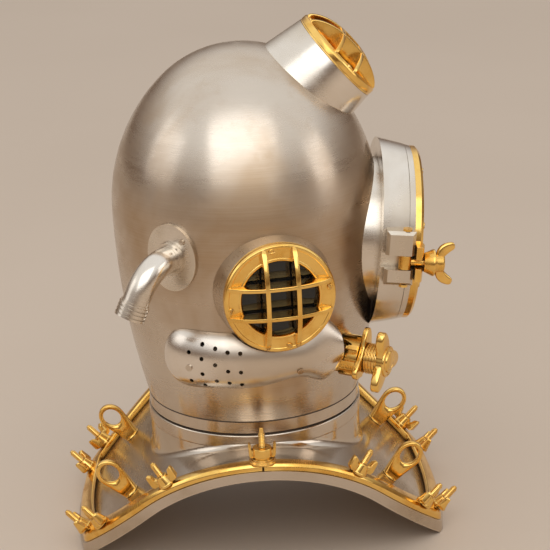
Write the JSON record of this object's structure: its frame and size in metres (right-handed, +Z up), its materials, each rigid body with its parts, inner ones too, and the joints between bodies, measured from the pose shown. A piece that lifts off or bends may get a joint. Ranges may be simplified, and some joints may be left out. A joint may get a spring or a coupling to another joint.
{
  "type": "diving helmet",
  "caption": "Old-style surface-supplied diving helmet: a plated bonnet with barred side and top ports and a hinged front port, on a saddle-shaped breastplate with studs and wing nuts.",
  "frame": {"origin": "on the floor, under the middle of the neck opening", "axes": "+Z up along the neck, -Y to the wearer's front, -X to the wearer's right hand"},
  "size_m": [0.3314, 0.382, 0.4977],
  "materials": {
    "nickel_plate": "satin nickel plate over brass",
    "polished_brass": "polished",
    "leather": "dark, worn",
    "glass": "clear",
    "rubber": "matte"
  },
  "bodies": {
    "breastplate": {"breastplate": "nickel_plate", "breastplate_neck_ring": "nickel_plate", "neck_gasket": "leather", "front_braile": "polished_brass", "back_braile": "polished_brass", "studs": "polished_brass", "eyelets": "polished_brass"},
    "bonnet": {"bonnet_neck_ring": "nickel_plate", "bonnet": "nickel_plate", "right_port_collar": "nickel_plate", "left_port_collar": "nickel_plate", "top_port_collar": "nickel_plate", "front_port_ring": "nickel_plate", "air_gooseneck": "nickel_plate", "telephone_gooseneck": "nickel_plate", "exhaust_channel": "nickel_plate", "gooseneck_screws": "nickel_plate", "channel_screws": "nickel_plate", "exhaust_spring": "nickel_plate", "right_port_guard": "polished_brass", "left_port_guard": "polished_brass", "top_port_guard": "polished_brass", "port_screws": "polished_brass", "hinge_pin": "polished_brass", "swing_bolt_pin": "polished_brass", "exhaust_valve_body": "polished_brass", "exhaust_star_flange": "polished_brass", "spitcock_body": "polished_brass", "right_port_gasket": "leather", "left_port_gasket": "leather", "top_port_gasket": "leather", "door_gasket": "leather", "right_port_glass": "glass", "left_port_glass": "glass", "top_port_glass": "glass", "air_check_valve": "rubber"},
    "door": {"door_frame": "nickel_plate", "door_glass": "glass", "door_bezel": "polished_brass", "door_screws": "polished_brass"},
    "swing_bolt": {"swing_bolt": "polished_brass"},
    "door_nut": {"door_wing_nut": "polished_brass"},
    "handwheel": {"exhaust_handwheel": "polished_brass"},
    "chin_valve": {"exhaust_disc": "polished_brass"},
    "spitcock_lever": {"spitcock_lever": "polished_brass"},
    "wing_nut_01": {"wing_nut_01": "polished_brass"},
    "wing_nut_02": {"wing_nut_02": "polished_brass"},
    "wing_nut_03": {"wing_nut_03": "polished_brass"},
    "wing_nut_04": {"wing_nut_04": "polished_brass"},
    "wing_nut_05": {"wing_nut_05": "polished_brass"},
    "wing_nut_06": {"wing_nut_06": "polished_brass"},
    "wing_nut_07": {"wing_nut_07": "polished_brass"},
    "wing_nut_08": {"wing_nut_08": "polished_brass"},
    "wing_nut_09": {"wing_nut_09": "polished_brass"},
    "wing_nut_10": {"wing_nut_10": "polished_brass"},
    "wing_nut_11": {"wing_nut_11": "polished_brass"},
    "wing_nut_12": {"wing_nut_12": "polished_brass"},
    "right_shoulder_nut": {"right_shoulder_nut": "polished_brass"},
    "left_shoulder_nut": {"left_shoulder_nut": "polished_brass"}
  },
  "joints": [
    {"name": "bonnet_twist", "type": "hinge", "parent": "breastplate", "child": "bonnet", "pos_m": [0, 0, 0.1215], "axis": [0, 0, 1], "range_deg": [0, 45]},
    {"name": "door_hinge", "type": "hinge", "parent": "bonnet", "child": "door", "pos_m": [0.097, -0.14818, 0.28143], "axis": [0, -0.1045, 0.9945], "range_deg": [0, 105]},
    {"name": "swing_bolt_pivot", "type": "hinge", "parent": "bonnet", "child": "swing_bolt", "pos_m": [-0.091, -0.14222, 0.28205], "axis": [0, 0.1045, -0.9945], "range_deg": [0, 95]},
    {"name": "door_nut_spin", "type": "hinge", "parent": "swing_bolt", "child": "door_nut", "pos_m": [-0.091, -0.15902, 0.28029], "axis": [0, -0.9945, -0.1045], "continuous": true},
    {"name": "handwheel_spin", "type": "hinge", "parent": "bonnet", "child": "handwheel", "pos_m": [-0.09116, -0.10001, 0.1899], "axis": [-0.4531, -0.8893, -0.061], "continuous": true},
    {"name": "chin_button_push", "type": "slide", "parent": "bonnet", "child": "chin_valve", "axis": [-0.4531, -0.8893, -0.061], "range_m": [0, 0.005], "stiffness_N_per_m": 400, "springref_m": -0.002},
    {"name": "spitcock_lever_turn", "type": "hinge", "parent": "bonnet", "child": "spitcock_lever", "pos_m": [0.10619, -0.07162, 0.196], "axis": [0, 0, -1], "range_deg": [0, 90]},
    {"name": "wing_nut_01_spin", "type": "hinge", "parent": "breastplate", "child": "wing_nut_01", "pos_m": [-0.13632, -0.08887, 0.09268], "axis": [0, -0.5182, 0.8553], "continuous": true},
    {"name": "wing_nut_02_spin", "type": "hinge", "parent": "breastplate", "child": "wing_nut_02", "pos_m": [-0.09572, -0.15441, 0.03681], "axis": [0, -0.6788, 0.7343], "continuous": true},
    {"name": "wing_nut_03_spin", "type": "hinge", "parent": "breastplate", "child": "wing_nut_03", "pos_m": [-0.07, -0.17173, 0.02081], "axis": [0, -0.6788, 0.7343], "continuous": true},
    {"name": "wing_nut_04_spin", "type": "hinge", "parent": "breastplate", "child": "wing_nut_04", "pos_m": [-0.13632, 0.08887, 0.09268], "axis": [0, 0.5182, 0.8553], "continuous": true},
    {"name": "wing_nut_05_spin", "type": "hinge", "parent": "breastplate", "child": "wing_nut_05", "pos_m": [-0.09572, 0.15441, 0.03681], "axis": [0, 0.6788, 0.7343], "continuous": true},
    {"name": "wing_nut_06_spin", "type": "hinge", "parent": "breastplate", "child": "wing_nut_06", "pos_m": [-0.07, 0.17173, 0.02081], "axis": [0, 0.6788, 0.7343], "continuous": true},
    {"name": "wing_nut_07_spin", "type": "hinge", "parent": "breastplate", "child": "wing_nut_07", "pos_m": [0.13632, -0.08887, 0.09268], "axis": [0, -0.5182, 0.8553], "continuous": true},
    {"name": "wing_nut_08_spin", "type": "hinge", "parent": "breastplate", "child": "wing_nut_08", "pos_m": [0.09572, -0.15441, 0.03681], "axis": [0, -0.6788, 0.7343], "continuous": true},
    {"name": "wing_nut_09_spin", "type": "hinge", "parent": "breastplate", "child": "wing_nut_09", "pos_m": [0.07, -0.17173, 0.02081], "axis": [0, -0.6788, 0.7343], "continuous": true},
    {"name": "wing_nut_10_spin", "type": "hinge", "parent": "breastplate", "child": "wing_nut_10", "pos_m": [0.13632, 0.08887, 0.09268], "axis": [0, 0.5182, 0.8553], "continuous": true},
    {"name": "wing_nut_11_spin", "type": "hinge", "parent": "breastplate", "child": "wing_nut_11", "pos_m": [0.09572, 0.15441, 0.03681], "axis": [0, 0.6788, 0.7343], "continuous": true},
    {"name": "wing_nut_12_spin", "type": "hinge", "parent": "breastplate", "child": "wing_nut_12", "pos_m": [0.07, 0.17173, 0.02081], "axis": [0, 0.6788, 0.7343], "continuous": true},
    {"name": "right_shoulder_nut_spin", "type": "hinge", "parent": "breastplate", "child": "right_shoulder_nut", "pos_m": [-0.15325, 0, 0.1175], "axis": [0, 0, 1], "continuous": true},
    {"name": "left_shoulder_nut_spin", "type": "hinge", "parent": "breastplate", "child": "left_shoulder_nut", "pos_m": [0.15325, 0, 0.1175], "axis": [0, 0, 1], "continuous": true}
  ]
}
